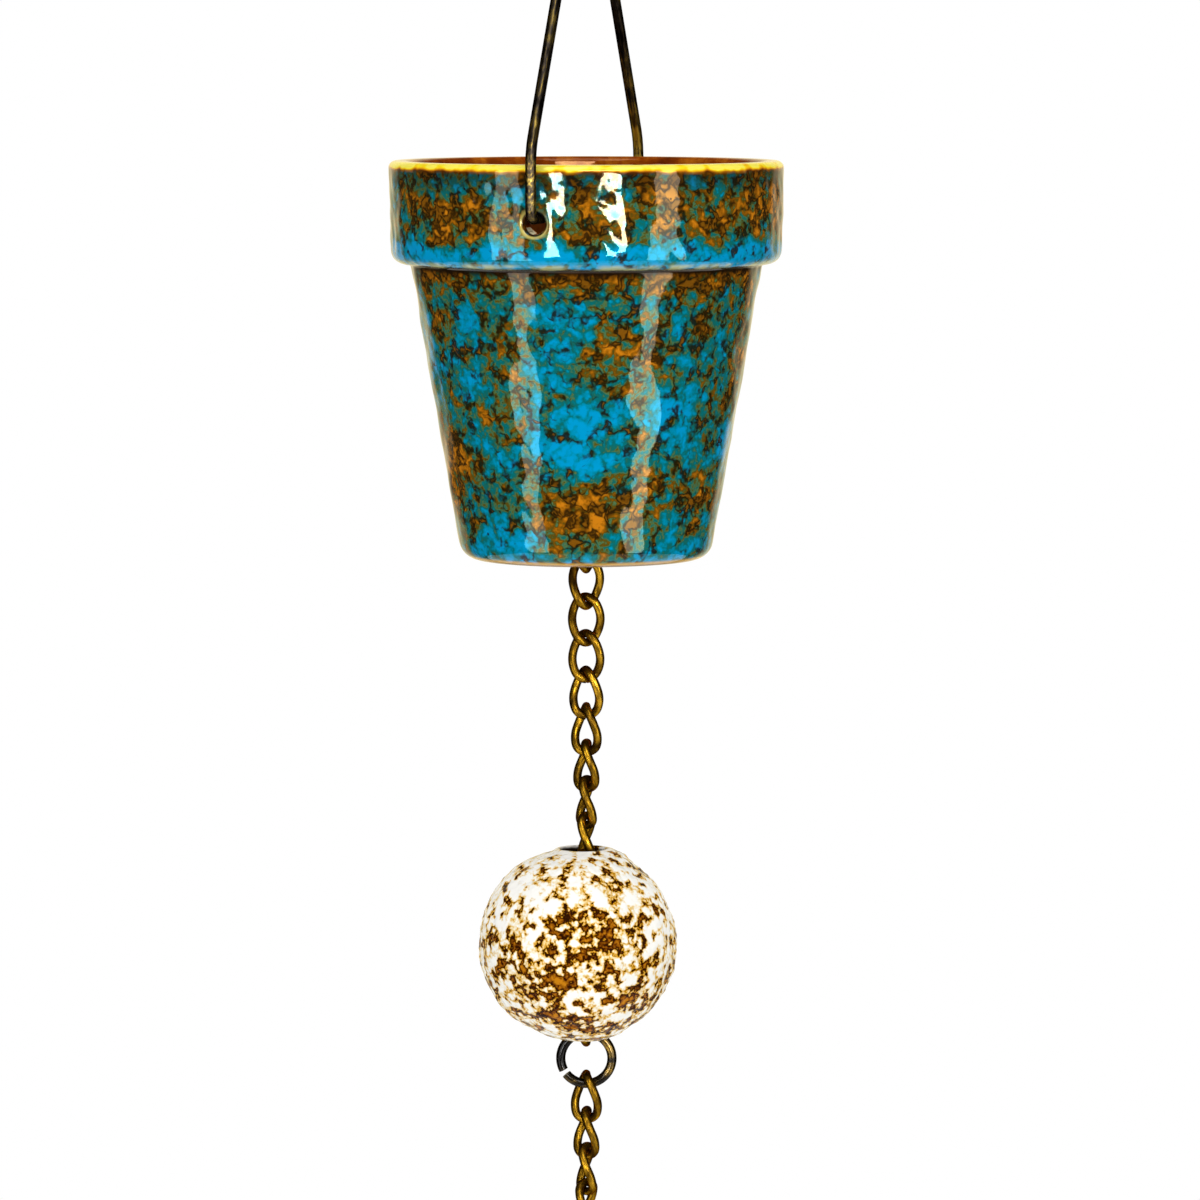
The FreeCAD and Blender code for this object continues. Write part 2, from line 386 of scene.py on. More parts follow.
# A square of cells about each mouth of the bail holes gives way to the hole's own loops
off_height = np.abs(pot_outline[:, 1] - bail_hole_z)
on_outside = pot_outline[:, 0] > (collar_foot_radius + inner_rim_radius) / 2
hole_rows = [int(np.argmin(np.where(on_outside == wanted, off_height, np.inf))) for wanted in (True, False)]
hole_lofts = []
kept = np.ones(pot_quads.shape[:2], bool)
for side in (-1, 1):
    column = pot_columns // 4 * (2 - side)
    edges = []
    left, right = column - hole_cells, column + hole_cells
    for row in hole_rows:
        block = pot_points[row - hole_cells : row + hole_cells + 1, left : right + 1]
        rim = np.concatenate([block[0, :-1], block[:-1, -1], block[-1, :0:-1], block[:0:-1, 0]])
        edges.append(rim[np.argsort(np.arctan2(rim[:, 2] - bail_hole_z, rim[:, 0]))])
        kept[row - hole_cells : row + hole_cells, left:right] = False
    hole_lofts.append(bail_hole(side, *edges))
all_points = [pot_points.reshape(-1, 3)]
all_quads = [pot_quads[kept]]
for points, quads in hole_lofts:
    all_quads.append(quads.reshape(-1, 4) + sum(len(group) for group in all_points))
    all_points.append(points.reshape(-1, 3))
glazed_pot = closed_piece("pot_glazed", np.concatenate(all_points), np.concatenate(all_quads))

# Where each point of the pot lies: depth below the rim, distance from the axis, turn from the photographed
# side, distance from the middle of a bail hole, and outside or inside
pot_at = points_of(glazed_pot)
depth = rim_z - pot_at[:, 2]
reach = np.hypot(pot_at[:, 0], pot_at[:, 1])
around = np.arctan2(pot_at @ right_way, pot_at @ front_way)
off_hole = np.hypot(pot_at[:, 0], pot_at[:, 2] - bail_hole_z)
outside = ease(reach - (outer_radius(depth) + inner_radius(depth)) / 2, -1.0, 1.0)

# The thick glaze lies in soft waves, about 0.1 mm high and 15 mm long with finer ones of 6.5 mm, that bend
# every reflection. It is level on the lip, at the holes and under the foot
on_collar = ease(depth, collar_height + 1.0, collar_height - 2.0)
waves = 0.10 * swell(pot_at, 15.0, 3) + (0.03 + 0.02 * on_collar) * swell(pot_at, 6.5, 4)
level = ease(depth, 1.0, 6.0) * ease(depth, pot_height - 1, pot_height - 7) * ease(off_hole, 3.0, 7.0)
level *= np.where(outside > 0.5, 1.0, 0.8)
flat_way = np.stack([pot_at[:, 0] / reach, pot_at[:, 1] / reach, np.zeros_like(reach)], -1)
set_points(glazed_pot, pot_at + flat_way * (waves * level)[:, None])

# Where one glaze won over the other on the photographed side: across and below the rim in millimetres, the
# run's size, and how far it goes to blue (above 0) or rust (below 0)
glaze_runs = np.array(
    [
        (-5.0, 39.0, 6.0, 1.0),
        (-9.5, 51.0, 7.0, 0.9),
        (1.0, 66.5, 8.5, 1.0),
        (-1.5, 73.0, 6.5, 0.9),
        (-10.0, 70.0, 5.5, 0.7),
        (22.5, 60.5, 7.5, 1.0),
        (23.0, 69.0, 6.5, 0.8),
        (-29.5, 39.5, 6.0, 0.8),
        (-28.5, 55.0, 5.0, 0.7),
        (-28.0, 66.0, 5.0, 0.6),
        (-21.0, 71.5, 5.5, 0.7),
        (11.5, 36.5, 4.0, 0.6),
        (22.0, 43.0, 4.5, 0.6),
        (33.0, 47.0, 5.0, 0.7),
        (-21.5, 94.0, 9.0, 0.7),
        (20.0, 95.0, 6.0, 0.5),
        (-16.0, 8.0, 3.0, 0.7),
        (29.0, 7.0, 4.0, 0.4),
        (-43.0, 9.5, 4.5, -0.9),
        (-34.5, 14.0, 6.0, -0.9),
        (-28.0, 15.0, 4.0, -0.8),
        (-35.0, 18.5, 4.0, -0.7),
        (-20.0, 18.0, 4.0, -0.7),
        (0.0, 10.0, 3.5, -0.6),
        (1.5, 16.0, 4.5, -0.7),
        (31.5, 17.0, 5.0, -0.9),
        (42.5, 9.5, 6.0, -1.0),
        (22.0, 10.0, 6.0, -1.0),
        (15.0, 8.0, 3.5, -0.7),
        (8.0, 44.5, 5.5, -0.9),
        (10.5, 49.5, 4.5, -0.8),
        (18.0, 46.5, 5.0, -0.8),
        (-19.5, 53.0, 3.5, -0.8),
        (-24.5, 63.0, 3.5, -0.7),
        (-1.0, 85.0, 9.0, -1.0),
        (-4.0, 93.0, 6.0, -0.8),
        (15.0, 82.0, 5.5, -0.9),
        (16.5, 93.0, 4.0, -0.6),
        (28.5, 83.0, 5.5, -0.9),
        (38.5, 47.5, 4.5, -0.8),
        (-32.0, 73.0, 4.5, -0.7),
        (-28.5, 78.0, 4.5, -0.8),
        (-32.0, 85.0, 5.0, -0.9),
        (-37.5, 40.0, 3.5, -0.6),
        (-2.0, 53.0, 6.0, -0.25),
    ]
)
run_turn = np.arcsin(glaze_runs[:, 0] / outer_radius(glaze_runs[:, 1]))
near_runs = np.column_stack([run_turn, glaze_runs[:, 1:]])

# Round the rest of the pot, which the photograph doesn't show, the runs lie at random
far_count = 84
rng = np.random.default_rng(11)
far_turn = rng.uniform(np.radians(62), np.radians(298), far_count)
far_down = rng.uniform(5, 96, far_count)
far_size = rng.uniform(3.5, 7.5, far_count)
far_amount = rng.choice([-0.8, -0.6, 0.7, 0.9], far_count)
far_runs = np.stack([far_turn, far_down, far_size, far_amount], -1)

rust_share = 0.8
blue_run = np.zeros(len(pot_at))
for turn, down, size, amount in np.concatenate([near_runs, far_runs]):
    swing = (around - turn + np.pi) % (2 * np.pi) - np.pi
    share = np.exp(-((swing * outer_radius(down)) ** 2 + (depth - down) ** 2) / size**2)
    blue_run += (amount if amount > 0 else rust_share * amount) * share

# The glaze pools blue along the collar's lower edge and over the foot, breaks to rust just below the collar
# and is a little rustier on the upper collar
wander = swell(pot_at, 9.0, 6)
above_edge = ease(depth, collar_height + 0.4, collar_height - 0.4)
below_edge = ease(depth, collar_height, collar_height + 1.0)
blue_run += 1.2 * ease(depth, 18.5 + 0.8 * wander, 21.5 + 0.8 * wander) * above_edge
blue_run -= 0.7 * below_edge * ease(depth, 34.0 + 1.2 * wander, 29.5 + 1.2 * wander)
blue_run += 0.5 * ease(depth, 88.0, 97.0)
blue_run -= 0.1 * ease(depth, 19.0, 15.0)
set_field(glazed_pot, "blue_run", blue_run)

# The glaze is thin on the lip, at the foot and on the collar's lower edge, which also gets a painted
# highlight.
# It is pale round the bail holes, brightest on one side as a painted highlight. Painted shade darkens it
# under the lip, under the collar, down inside and in the holes
on_lip = ease(reach, inner_rim_radius - 0.8, inner_rim_radius + 0.3)
set_field(glazed_pot, "thin_lip", ease(depth, 2.4, 0.8) * on_lip)
set_field(glazed_pot, "thin_foot", ease(depth, pot_height - 1.6, pot_height - 0.7) * outside)
# A pale ring of thin glaze round each bail hole's mouth, brightest on one side as a painted highlight
round_hole = np.arctan2(pot_at[:, 2] - bail_hole_z, -np.sign(pot_at[:, 1]) * pot_at[:, 0])
painted_crescent = 0.6 - 0.4 * np.cos(round_hole - np.radians(35))
mouth_ring = ease(off_hole, 3.0, 3.3) * ease(off_hole, 4.0, 3.5)
set_field(glazed_pot, "hole_rim", painted_crescent * mouth_ring * outside)
# Painted shade: the inside darkens with depth, and the bail holes are dark inside
in_hole = ease(off_hole, 3.4, 3.0)
set_field(glazed_pot, "painted_deep_shade", np.maximum(ease(depth, 3.0, 16.0) * (1 - outside), in_hole))
# Painted shade: darker just under the lip, and a dark line under the collar's overhang
under_lip = 0.75 * ease(depth, 10.0 + wander, 2.0)
under_collar = 1.2 * ease(depth, collar_height - 0.5, collar_height)
under_collar *= ease(depth, collar_height + 2.6, collar_height + 1.0)
set_field(glazed_pot, "painted_shade", outside * (under_lip + under_collar))
# A pale line on the collar's lower rounding: thin glaze, and a painted highlight
edge_band = ease(depth, collar_height - 1.7, collar_height - 0.8)
edge_band *= ease(depth, collar_height + 0.2, collar_height - 0.1)
set_field(glazed_pot, "thin_edge_highlight", edge_band * outside)
set_field(glazed_pot, "lining", 1 - outside)

# Reactive stoneware glaze: opaque blue crystals float as islands in a clear rust-brown glaze, dark strokes
# part them, and the whole is glassy
lobe_bend = 0.0055
stroke_bend = 0.003
reactive_glaze = bpy.data.materials.new("reactive_stoneware_glaze")
tree = empty_tree(reactive_glaze)
field = {
    name: add(tree, "Attribute", attribute_name=name).outputs["Fac"]
    for name in ("blue_run", "painted_shade", "thin_lip", "thin_foot", "thin_edge_highlight", "hole_rim", "lining", "painted_deep_shade")
}
place = add(tree, "TexCoord").outputs["Object"]
wobble = add(tree, "TexNoise", {"Vector": place, "Scale": per_mm(3.6), "Detail": 2.5}).outputs["Color"]
centred = add(tree, "VectorMath", {0: wobble, 1: (0.5, 0.5, 0.5)}, operation="SUBTRACT").outputs["Vector"]
bent = add(
    tree, "VectorMath", {0: centred, 1: (lobe_bend,) * 3, 2: place}, operation="MULTIPLY_ADD"
).outputs["Vector"]
soft_bent = add(
    tree, "VectorMath", {0: centred, 1: (stroke_bend,) * 3, 2: place}, operation="MULTIPLY_ADD"
).outputs["Vector"]
lobes = add(tree, "TexVoronoi", {"Vector": bent, "Scale": per_mm(3.8)}, feature="F1").outputs["Distance"]
specks = add(tree, "TexVoronoi", {"Vector": bent, "Scale": per_mm(1.7)}, feature="F1").outputs["Distance"]
blotch = add(
    tree, "TexNoise", {"Vector": place, "Scale": per_mm(6.5), "Detail": 4.0, "Roughness": 0.6}
).outputs["Fac"]
grain = add(tree, "TexNoise", {"Vector": place, "Scale": per_mm(1.0), "Detail": 3.0}).outputs["Fac"]

# How far the blue crystals won, 0 to 1: round lobes that join where the blue ran and stand apart where the
# rust did. The glaze goes with it from amber and rust over olive and green to teal and blue
won = add(tree, "Math", {0: field["blue_run"], 1: 0.30, 2: 0.41}, operation="MULTIPLY_ADD").outputs["Value"]
for pattern, weight in ((lobes, -0.55), (specks, -0.34), (blotch, 0.75), (grain, 0.36)):
    won = add(tree, "Math", {0: pattern, 1: weight, 2: won}, operation="MULTIPLY_ADD").outputs["Value"]
body = add(
    tree,
    "ValToRGB",
    {"Fac": won},
    stops=[
        (0.14, "#c67a14"),
        (0.27, "#925808"),
        (0.36, "#68480a"),
        (0.42, "#4c4a16"),
        (0.48, "#4e6e44"),
        (0.55, "#186256"),
        (0.63, "#056668"),
        (0.76, "#00829e"),
        (0.93, "#0094c8"),
    ],
).outputs["Color"]

# Dark strokes with a brown core wind between the islands: they follow the middle lines of a noise, as wide as
# a second noise allows, and are wider where the rust won
folds = add(tree, "TexNoise", {"Vector": soft_bent, "Scale": per_mm(4.4), "Detail": 2.0}).outputs["Fac"]
gate = add(
    tree, "TexNoise", {"Vector": place, "Scale": per_mm(4.0), "Detail": 2.0}, noise_dimensions="4D"
).outputs["Fac"]
stroke = add(tree, "Math", {0: folds, 1: 0.5}, operation="SUBTRACT").outputs["Value"]
stroke = add(tree, "Math", {0: stroke}, operation="ABSOLUTE").outputs["Value"]
stroke = add(tree, "Math", {0: gate, 1: -0.5, 2: stroke}, operation="MULTIPLY_ADD").outputs["Value"]
stroke = add(tree, "Math", {0: won, 1: 0.14, 2: stroke}, operation="MULTIPLY_ADD").outputs["Value"]
dark_stroke = add(
    tree, "MapRange", {"Value": stroke, "From Min": -0.18, "From Max": -0.11, "To Min": 0.93, "To Max": 0.0}
).outputs["Result"]
brown_core = add(
    tree, "MapRange", {"Value": stroke, "From Min": -0.26, "From Max": -0.21, "To Min": 0.9, "To Max": 0.0}
).outputs["Result"]

# Black specks of iron, up to a millimetre across, burnt through the glaze
iron = add(tree, "TexVoronoi", {"Vector": place, "Scale": per_mm(3.6)}, feature="F1")
iron_size = add(tree, "SeparateColor", {"Color": iron.outputs["Color"]}).outputs["Red"]
iron_size = add(tree, "Math", {0: iron_size, 1: 3.0}, operation="POWER").outputs["Value"]
iron_edge = add(
    tree, "Math", {0: iron_size, 1: -0.13, 2: iron.outputs["Distance"]}, operation="MULTIPLY_ADD"
).outputs["Value"]
speck = add(
    tree, "MapRange", {"Value": iron_edge, "From Min": -0.02, "From Max": 0.03, "To Min": 0.9, "To Max": 0.0}
).outputs["Result"]

# Thin glaze shows amber on the lip and pale on the edges, in broken patches, with a painted highlight on the
# collar's lower edge. The lining is plain rust, with painted shade deeper down and in the holes
broken = add(tree, "TexNoise", {"Vector": place, "Scale": per_mm(5.0), "Detail": 2.0}).outputs["Fac"]
# Painted shade under the lip and under the collar
shade_shown = add(tree, "Math", {0: field["painted_shade"], 1: 0.8}, operation="MULTIPLY", use_clamp=True).outputs["Value"]
bared = add(tree, "Math", {0: broken, 1: 2.0, 2: -0.95}, operation="MULTIPLY_ADD").outputs["Value"]
bared = add(tree, "Math", {0: field["thin_lip"], 1: bared}, operation="ADD").outputs["Value"]
amber = add(
    tree,
    "ValToRGB",
    {"Fac": bared},
    stops=[(0.15, "#5a2c05"), (0.45, "#c07010"), (0.68, "#f2b81a"), (0.86, "#fde41e"), (1.0, "#fdee5a")],
).outputs["Color"]
lip_shown = add(
    tree, "MapRange", {"Value": field["thin_lip"], "From Min": 0.02, "From Max": 0.4}
).outputs["Result"]
# The collar's lower edge: pale thin glaze in broken patches, and a painted highlight
edge_glaze_highlight = add(
    tree, "MapRange", {"Value": broken, "From Min": 0.4, "From Max": 0.6, "To Max": 0.8}
).outputs["Result"]
edge_glaze_highlight = add(tree, "Math", {0: edge_glaze_highlight, 1: field["thin_edge_highlight"]}, operation="MULTIPLY").outputs["Value"]
inner = add(
    tree, "ValToRGB", {"Fac": blotch}, stops=[(0.3, "#5e2004"), (0.5, "#8c3c06"), (0.7, "#c06c16")]
).outputs["Color"]
# Painted shade deep inside the pot and in the bail holes
deep_shade_shown = add(tree, "Math", {0: field["painted_deep_shade"], 1: 0.75}, operation="MULTIPLY").outputs["Value"]

# What lies over the islands, in order: how far it shows, and its colour
layers = (
    (dark_stroke, paint("#181204")),
    (brown_core, paint("#80500c")),
    (speck, paint("#120b04")),
    # Painted shade under the lip and under the collar
    (shade_shown, paint("#1a0d04")),
    (lip_shown, amber),
    (field["thin_foot"], paint("#dba43c")),
    # Thin glaze and a painted highlight on the collar's lower edge
    (edge_glaze_highlight, paint("#b4b67c")),
    # Pale thin glaze round the bail holes, with a painted highlight on one side
    (field["hole_rim"], paint("#d6c266")),
    (field["lining"], inner),
    # Painted shade deep inside the pot and in the bail holes
    (deep_shade_shown, paint("#2a0f04")),
)
for shown, colour in layers:
    body = add(tree, "Mix", {0: shown, 6: body, 7: colour}, data_type="RGBA").outputs[2]

# The ripples bend the reflections, which are tinted by the glaze's own colour
ripple = add(tree, "TexNoise", {"Vector": place, "Scale": per_mm(3.5), "Detail": 1.0}).outputs["Fac"]
relief = add(tree, "Bump", {"Height": ripple, "Strength": 0.5, "Distance": 0.00012}).outputs["Normal"]
sheen = add(tree, "Gamma", {"Color": body, "Gamma": 0.5}).outputs["Color"]
sheen = add(tree, "Mix", {0: 0.11, 6: sheen, 7: paint("#ffffff")}, data_type="RGBA").outputs[2]
glass = add(
    tree,
    "BsdfPrincipled",
    {"Base Color": body, "Normal": relief, "Roughness": 0.05, "IOR": 1.75, "Specular Tint": sheen},
)
add(tree, "OutputMaterial", {"Surface": glass.outputs["BSDF"]})
glazed_pot.data.materials.append(reactive_glaze)
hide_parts("pot")
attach(glazed_pot, "pot")


# Chain links
# Nineteen oval links of round brass wire, butted but not soldered, each twisted a quarter turn after it was
# closed. An antique finish stays brown in the hollows and is rubbed golden on the crowns.

upper_links = [f"upper_link_{count:02d}" for count in range(1, 15)]
lower_links = [f"lower_link_{count:02d}" for count in range(1, 6)]

# Antique brass: golden where rubbed, brown to black where the patina stays, with fine drawn lines
antique_brass = bpy.data.materials.new("antique_brass")
tree = empty_tree(antique_brass)
place = add(tree, "TexCoord").outputs["Object"]
drawn = add(tree, "VectorMath", {0: place, 1: (1.0, 1.0, 0.25)}, operation="MULTIPLY").outputs["Vector"]
rubs = add(
    tree, "TexNoise", {"Vector": drawn, "Scale": per_mm(2.0), "Detail": 4.0, "Roughness": 0.6}
).outputs["Fac"]
tone = add(
    tree,
    "ValToRGB",
    {"Fac": rubs},
    stops=[(0.30, "#221504"), (0.42, "#553c0b"), (0.53, "#826013"), (0.68, "#b68b25")],
).outputs["Color"]
dull = add(
    tree, "MapRange", {"Value": rubs, "From Min": 0.3, "From Max": 0.65, "To Min": 0.45, "To Max": 0.26}
).outputs["Result"]
relief = add(tree, "Bump", {"Height": rubs, "Strength": 0.35, "Distance": 0.0001}).outputs["Normal"]
metal = add(
    tree,
    "BsdfPrincipled",
    {
        "Base Color": tone,
        "Roughness": dull,
        "Normal": relief,
        "Metallic": 1.0,
        "Specular Tint": paint("#7a5a14"),
    },
)
add(tree, "OutputMaterial", {"Surface": metal.outputs["BSDF"]})
for name in upper_links + lower_links:
    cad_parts[name].material_slots[0].material = antique_brass


# Bead
# A hollow ball of stoneware with a bore through it, slipped over the chain and resting on the ring below.
# Its thick white glaze crawled in the kiln into raised islands, and the rust-brown body shows in the cracks
# between them.

# Sizes in millimetres: the ball lies to one side of its bore, and the bore to one side of the chain
ball_offset = 2.2
bore_offset = 0.8
bead_radius = 25.3
bead_wall = 4.8
bore_radius = 5.6
bore_round = 0.9
bead_low, bead_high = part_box("bead")
ball_at = 500 * np.array(bead_low + bead_high)[:2]
bead_z = 500 * (bead_low.z + bead_high.z)
bore_at = ball_at * bore_offset / ball_offset

# Mesh: columns round the bore, and rows down the outside, over each lip and up the inside
bead_columns = 360
bead_rows = 210
lip_rows = 9
inner_rows = 26


def bead_outline():
    """The ball's half section about its bore, as rows of radius and height: the outside arc from mouth to
    mouth, a quarter-round lip, the bore's wall, the inside arc and back up over the other lip."""
    lip = bore_radius + bore_round
    lip_z = np.sqrt((bead_radius - bore_round) ** 2 - lip**2)
    mouth = np.arctan2(lip, lip_z)
    inner = np.arcsin(bore_radius / (bead_radius - bead_wall))
    polar = np.linspace(mouth, np.pi - mouth, bead_rows)
    outside = bead_radius * np.stack([np.sin(polar), np.cos(polar)], -1)
    bend = np.linspace(mouth, -np.pi / 2, lip_rows)[1:]
    top_lip = np.array([lip, lip_z]) + bore_round * np.stack([np.sin(bend), np.cos(bend)], -1)
    polar = np.linspace(inner, np.pi - inner, inner_rows)
    inside = (bead_radius - bead_wall) * np.stack([np.sin(polar), np.cos(polar)], -1)
    low_lip = top_lip[::-1] * (1, -1)
    return np.concatenate([outside, low_lip[::-1], inside[::-1], top_lip[::-1]])


bead_rows_at = bead_outline()
bead_points, bead_quads = turned(bead_rows_at, bead_columns)

# The mouths stay about the bore, and between them the ball shifts over to its own middle
mouth_z = 24.6
shifted_z = 20.0
in_ball = bead_rows_at[:, 0] > bore_radius + 0.01
shift = ease(np.abs(bead_rows_at[:, 1]), mouth_z, shifted_z) * in_ball
bead_points[..., :2] += bore_at + (ball_at - bore_at) * shift[:, None, None]
bead_points[..., 2] += bead_z
glazed_bead = closed_piece("bead_glazed", bead_points.reshape(-1, 3), bead_quads.reshape(-1, 4))

# Where the bead's unglazed body shows on the photographed side: across and above the middle in millimetres,
# the patch's size, and how wide the cracks open there (below 0 the white glaze closes)
crawl_patches = np.array(
    [
        (-6.5, 1.5, 5.0, 1.6),
        (-1.0, 7.5, 3.2, 1.5),
        (8.0, 5.0, 4.0, 1.5),
        (3.5, 1.0, 3.5, 1.4),
        (0.0, -2.0, 3.0, 1.2),
        (-18.0, 0.5, 4.0, 1.4),
        (-20.0, -5.0, 3.0, 1.3),
        (-5.5, -9.5, 5.0, 1.0),
        (5.5, -6.5, 3.0, 1.3),
        (13.5, 3.0, 4.0, 1.2),
        (10.0, 12.0, 3.0, 1.2),
        (4.5, 15.5, 3.5, 0.9),
        (-5.0, -16.5, 4.0, 1.2),
        (0.0, -21.0, 4.5, 1.0),
        (15.0, -13.0, 5.0, 0.8),
        (-13.0, -10.0, 4.0, 0.5),
        (-8.0, 12.0, 6.0, -0.8),
        (5.0, 10.5, 3.5, -0.6),
        (12.5, 10.0, 4.0, -0.5),
        (-4.0, -5.0, 3.5, -0.5),
        (-2.0, -13.0, 4.5, -0.5),
        (8.5, -10.0, 4.0, -0.5),
        (-14.0, -16.0, 5.0, -0.6),
    ]
)
bead_at = points_of(glazed_bead)
from_middle = bead_at - np.array([*ball_at, bead_z])
bead_reach = np.linalg.norm(from_middle, axis=1)
bead_outside = ease(bead_reach, bead_radius - 1.1, bead_radius - 0.4)

# The patches are placed as the photograph shows the bead, from a little above. Between them the cracks open
# wider toward the bottom
tilt = np.radians(7.4)
seen_way = np.array([0, 0, 1]) * np.sin(tilt) + front_way * np.cos(tilt)
seen_up = np.array([0, 0, 1]) * np.cos(tilt) - front_way * np.sin(tilt)
patch_out = np.sqrt(bead_radius**2 - crawl_patches[:, 0] ** 2 - crawl_patches[:, 1] ** 2)
patch_at = crawl_patches[:, :1] * right_way + crawl_patches[:, 1:2] * seen_up + patch_out[:, None] * seen_way
crack = 0.15 * swell(from_middle, 9.0, 21) - 0.018 * from_middle[:, 2]
for at, (_, _, size, opening) in zip(patch_at, crawl_patches):
    crack += opening * np.exp(-((from_middle - at) ** 2).sum(1) / (0.8 * size) ** 2)
set_field(glazed_bead, "crack", np.clip(crack, -1, 1.0))
# The inside and the bore: unglazed body, darkened as painted shade
set_field(glazed_bead, "bare_shaded_inside", 1 - bead_outside)

# The crawled glaze leaves the ball lumpy, mostly within the plain ball
sink = 0.2
lump = 0.16 * swell(from_middle, 17.0, 41)
lump += 0.07 * swell(from_middle, 6.0, 42)
lump += 0.06 * swell(from_middle, 2.6, 43)
round_mouth = ease(np.hypot(*(bead_at[:, :2] - bore_at).T), 6.4, 9.0)
rise = (lump - sink) * bead_outside * round_mouth
set_points(glazed_bead, bead_at + from_middle / bead_reach[:, None] * rise[:, None])

# Crawled white glaze: glassy cream-white islands with an amber halo where the glaze thins to the rust-brown
# body
crawled_glaze = bpy.data.materials.new("crawled_white_glaze")
tree = empty_tree(crawled_glaze)
place = add(tree, "TexCoord").outputs["Object"]
crack = add(tree, "Attribute", attribute_name="crack").outputs["Fac"]
bare_shaded_inside = add(tree, "Attribute", attribute_name="bare_shaded_inside").outputs["Fac"]
folds = add(
    tree, "TexNoise", {"Vector": place, "Scale": per_mm(4.4), "Detail": 3.0, "Roughness": 0.6}
).outputs["Fac"]
gate = add(
    tree, "TexNoise", {"Vector": place, "Scale": per_mm(3.2), "Detail": 3.0}, noise_dimensions="4D"
).outputs["Fac"]
grit = add(tree, "TexNoise", {"Vector": place, "Scale": per_mm(1.2), "Detail": 2.0}).outputs["Fac"]

# Over 0.5 the glaze lies on. Cracks follow the middle lines of a noise, as wide as the patches and a second
# noise allow
line = add(tree, "Math", {0: folds, 1: 0.5}, operation="SUBTRACT").outputs["Value"]
line = add(tree, "Math", {0: line}, operation="ABSOLUTE").outputs["Value"]
width = add(tree, "Math", {0: crack, 1: 0.08, 2: -0.408}, operation="MULTIPLY_ADD").outputs["Value"]
width = add(tree, "Math", {0: gate, 1: 0.8, 2: width}, operation="MULTIPLY_ADD").outputs["Value"]
edge = add(tree, "Math", {0: line, 1: width}, operation="SUBTRACT").outputs["Value"]
edge = add(tree, "Math", {0: edge, 1: 3.2, 2: 0.27}, operation="MULTIPLY_ADD").outputs["Value"]
edge = add(tree, "Math", {0: grit, 1: 0.5, 2: edge}, operation="MULTIPLY_ADD").outputs["Value"]
coat = add(
    tree,
    "ValToRGB",
    {"Fac": edge},
    stops=[
        (0.02, "#c07c14"),
        (0.16, "#9a5a0a"),
        (0.28, "#683404"),
        (0.37, "#2a1102"),
        (0.48, "#2a1203"),
        (0.52, "#80500a"),
        (0.56, "#c4860e"),
        (0.62, "#dcae48"),
        (0.70, "#e8ce94"),
        (0.80, "#f2e6cc"),
        (0.93, "#f8f6f0"),
    ],
).outputs["Color"]
# The inside and the bore: dark unglazed body with painted shade
coat = add(tree, "Mix", {0: bare_shaded_inside, 6: coat, 7: paint("#1d1007")}, data_type="RGBA").outputs[2]
wet = add(
    tree, "MapRange", {"Value": edge, "From Min": 0.4, "From Max": 0.6, "To Min": 0.18, "To Max": 0.09}
).outputs["Result"]
relief = add(tree, "Bump", {"Height": edge, "Strength": 0.4, "Distance": 0.0004}).outputs["Normal"]
glass = add(
    tree,
    "BsdfPrincipled",
    {
        "Base Color": coat,
        "Roughness": wet,
        "Normal": relief,
        "IOR": 1.5,
        "Specular IOR Level": 0.1,
        "Specular Tint": coat,
    },
)
add(tree, "OutputMaterial", {"Surface": glass.outputs["BSDF"]})
glazed_bead.data.materials.append(crawled_glaze)
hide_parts("bead")
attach(glazed_bead, "bead")


# Floor
# A plain pale floor well below the hanging chain. The camera and the shiny pieces see it as white, and it
# still takes the chain's soft shadow.

floor_z = -1.0
floor_reach = 1.1
floor_sides = 96
turn = np.linspace(0, 2 * np.pi, floor_sides, endpoint=False)
floor_edge = [(floor_reach * np.cos(angle), floor_reach * np.sin(angle), floor_z) for angle in turn]
floor_mesh = bpy.data.meshes.new("floor")
floor_mesh.from_pydata(floor_edge, [], [list(range(floor_sides))])
floor = bpy.data.objects.new("floor", floor_mesh)
bpy.context.scene.collection.objects.link(floor)

# Pale matt paint, lifted to white for the rays that see it
pale_floor = bpy.data.materials.new("pale_matt_paint")
tree = empty_tree(pale_floor)
path = add(tree, "LightPath").outputs
lit = add(tree, "BsdfDiffuse", {"Color": paint("#e9e7e4")})
seen = add(
    tree, "Math", {0: path["Is Camera Ray"], 1: path["Is Glossy Ray"]}, operation="MAXIMUM"
).outputs["Value"]
seen = add(tree, "Math", {0: seen, 1: path["Is Transmission Ray"]}, operation="MAXIMUM").outputs["Value"]
lift = add(tree, "Math", {0: seen, 1: 0.55}, operation="MULTIPLY").outputs["Value"]
glow = add(tree, "Emission", {"Strength": lift})
both = add(tree, "AddShader", {0: lit.outputs["BSDF"], 1: glow.outputs["Emission"]})
add(tree, "OutputMaterial", {"Surface": both.outputs["Shader"]})
floor_mesh.materials.append(pale_floor)


# Light
# A white studio sweep behind the chain, which shiny pieces see as cream and dim on the camera's side. Two
# tall soft boxes stand either side of the camera and one hangs overhead. Three windows on the camera's side
# show only as reflections.

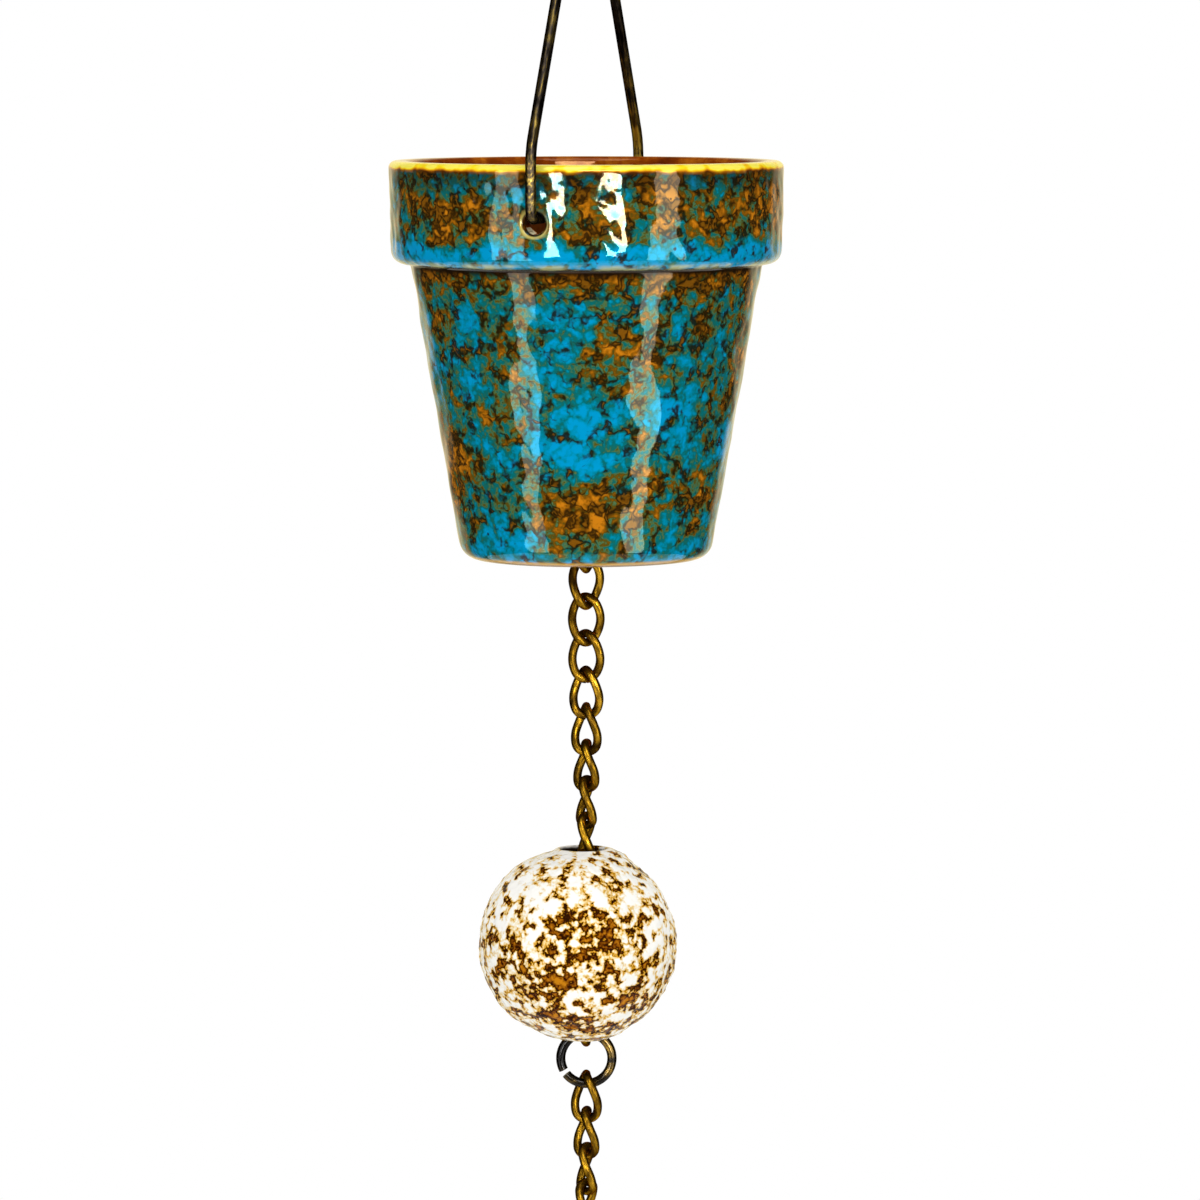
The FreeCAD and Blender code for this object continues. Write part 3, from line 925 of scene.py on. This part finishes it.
world = bpy.data.worlds.new("studio")
bpy.context.scene.world = world
tree = empty_tree(world)
path = add(tree, "LightPath").outputs
away = add(tree, "TexCoord").outputs["Generated"]
behind = add(tree, "VectorMath", {0: away, 1: tuple(-front_way)}, operation="DOT_PRODUCT").outputs["Value"]
sweep = add(
    tree,
    "MapRange",
    {"Value": behind, "From Min": 0.68, "From Max": 0.97, "To Min": 0.03, "To Max": 1.0},
    interpolation_type="SMOOTHSTEP",
).outputs["Result"]
above = add(tree, "SeparateXYZ", {"Vector": away}).outputs["Z"]
soft = add(
    tree, "MapRange", {"Value": above, "From Min": -1.0, "To Min": 0.04, "To Max": 0.6}
).outputs["Result"]
fill = add(tree, "Mix", {0: path["Is Glossy Ray"], 2: soft, 3: sweep}).outputs[0]
clear = add(
    tree, "Math", {0: path["Is Camera Ray"], 1: path["Is Transmission Ray"]}, operation="MAXIMUM"
).outputs["Value"]
strength = add(tree, "Mix", {0: clear, 2: fill, 3: 1.0}).outputs[0]
cream = add(
    tree, "Mix", {0: path["Is Glossy Ray"], 6: paint("#ffffff"), 7: paint("#fff0c4")}, data_type="RGBA"
).outputs[2]
sky = add(tree, "Background", {"Color": cream, "Strength": strength})
add(tree, "OutputWorld", {"Surface": sky.outputs["Background"]})

# Each lamp: degrees to the right of the camera, degrees above level, metres away, width and height, and
# radiance
lamps = {
    "left_box": (-46.0, -6.0, 1.3, 0.34, 1.3, 6.6),
    "right_box": (46.5, -6.0, 1.3, 0.30, 1.3, 7.8),
    "top_box": (0.0, 68.0, 1.3, 0.9, 0.9, 3.0),
    "left_window": (-17.0, -5.0, 1.9, 0.20, 0.34, 62.0),
    "right_window": (14.5, -5.0, 1.9, 0.32, 0.34, 62.0),
    "high_window": (8.0, 31.0, 1.9, 0.80, 0.55, 14.0),
}
lit_point = Vector((0.0, 0.0, -0.16))
for name, (swing, lift, distance, width, height, radiance) in lamps.items():
    lamp = bpy.data.lights.new(name, "AREA")
    lamp.shape = "RECTANGLE"
    lamp.size, lamp.size_y = width, height
    lamp.energy = radiance * np.pi * width * height
    holder = bpy.data.objects.new(name, lamp)
    bpy.context.scene.collection.objects.link(holder)
    turn, rise = np.radians(swing), np.radians(lift)
    level_way = front_way * np.cos(turn) + right_way * np.sin(turn)
    way = Vector(level_way * np.cos(rise)) + Vector((0, 0, np.sin(rise)))
    holder.location = lit_point + way * distance
    holder.rotation_euler = way.to_track_quat("Z", "Y").to_euler()
    holder.visible_camera = False
    holder.visible_diffuse = "window" not in name


# Camera
# The photograph's view: a long lens a little above the pot's rim, looking slightly down.

camera_distance = 1.6
camera_rise = 0.0378
camera_z = camera_rise + rim_z / 1000
look_down = np.radians(5.332)
look_right = np.radians(0.125)
lens = bpy.data.cameras.new("camera")
lens.sensor_width = 36.0
lens.lens = 189.6
camera = bpy.data.objects.new("camera", lens)
bpy.context.scene.collection.objects.link(camera)
camera.location = Vector(front_way * camera_distance) + Vector((0, 0, camera_z))
level_look = right_way * np.sin(look_right) - front_way * np.cos(look_right)
look = Vector(level_look * np.cos(look_down)) - Vector((0, 0, np.sin(look_down)))
camera.rotation_euler = look.to_track_quat("-Z", "Y").to_euler()
bpy.context.scene.camera = camera
bpy.context.scene.view_settings.view_transform = "Standard"
